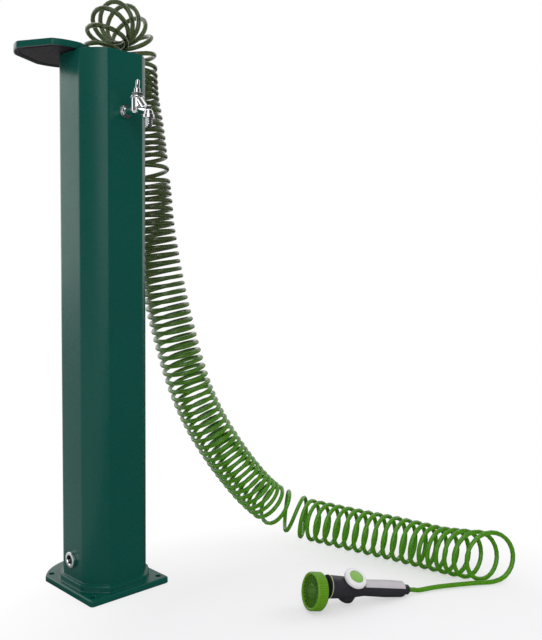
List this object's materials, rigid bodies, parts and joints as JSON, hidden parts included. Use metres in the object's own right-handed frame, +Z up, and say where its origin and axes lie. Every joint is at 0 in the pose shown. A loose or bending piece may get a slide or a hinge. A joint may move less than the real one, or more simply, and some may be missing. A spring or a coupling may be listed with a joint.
{
  "type": "garden standpipe",
  "caption": "Octagonal garden water column on a foot plate, with swivelling lid, lever tap, curly hose from the open top and a spray gun.",
  "frame": {"origin": "on the ground, under the middle of the column and of the foot plate's bolt pattern", "axes": "+Z up, -Y the side with the tap, +X the side over which the hose comes out"},
  "size_m": [0.7415, 0.6756, 1.1247],
  "materials": {
    "green_coat": "satin powder coat, deep green",
    "black_liner": "matt black",
    "zinc_steel": "zinc plated",
    "white_plastic": "natural plastic",
    "chrome": "bright chrome",
    "brass": "plain turned brass",
    "black_rubber": "black seal rubber",
    "green_hose": "glossy translucent green",
    "gun_black": "satin anthracite",
    "gun_grey": "soft pale grey grip",
    "gun_silver": "silver plastic",
    "gun_green": "lime green plastic",
    "gun_dark_green": "darker green plastic",
    "gun_pale": "pale green plastic"
  },
  "bodies": {
    "standpipe": {"foot_plate": "green_coat", "foot_cleats": "zinc_steel", "foot_screws": "zinc_steel", "column_panels": "green_coat", "column_corners": "green_coat", "lid_bracket": "zinc_steel", "bracket_screws": "zinc_steel", "inlet_fitting": "chrome", "inlet_back_nut": "brass", "inlet_elbow": "brass", "riser_pipe": "brass", "manifold": "brass", "tap_rosette": "chrome", "tap_back_nut": "brass", "tap_body": "chrome", "tap_seats": "white_plastic", "tap_gland_nut": "chrome", "outlet_nut": "chrome", "outlet_washer": "black_rubber", "hose_spigot": "chrome", "hose_nut": "brass", "spiral_hose": "green_hose", "gun_tail_nut": "gun_black", "gun_body": "gun_black", "grip_insert": "gun_grey", "head_ring": "gun_pale", "head_spindle": "zinc_steel"},
    "lid": {"lid_shell": "green_coat", "lid_liner": "black_liner", "lid_pin": "zinc_steel", "lid_washer": "white_plastic", "lid_clip": "zinc_steel"},
    "tap_handle": {"tap_lever": "chrome", "lever_screw": "zinc_steel", "tap_stem": "chrome", "tap_ball": "chrome"},
    "flow_control": {"valve_barrel": "gun_black", "flow_knob": "gun_silver", "knob_button": "gun_green"},
    "spray_turret": {"spray_head": "gun_green", "spray_face": "gun_dark_green"}
  },
  "joints": [
    {"name": "lid_swing", "type": "hinge", "parent": "standpipe", "child": "lid", "pos_m": [-0.047, 0.006, 1], "axis": [0, 0, 1], "range_deg": [-6, 60]},
    {"name": "lever_turn", "type": "hinge", "parent": "standpipe", "child": "tap_handle", "pos_m": [0, -0.112, 0.892], "axis": [0, 0, 1], "range_deg": [0, 90]},
    {"name": "flow_turn", "type": "hinge", "parent": "standpipe", "child": "flow_control", "pos_m": [0.25808, -0.40335, 0.03558], "axis": [-0.0292, -0.5533, 0.8325], "range_deg": [0, 90]},
    {"name": "spray_select", "type": "hinge", "parent": "standpipe", "child": "spray_turret", "pos_m": [0.21422, -0.37949, 0.03308], "axis": [-0.9224, 0.3357, 0.1908], "continuous": true}
  ]
}
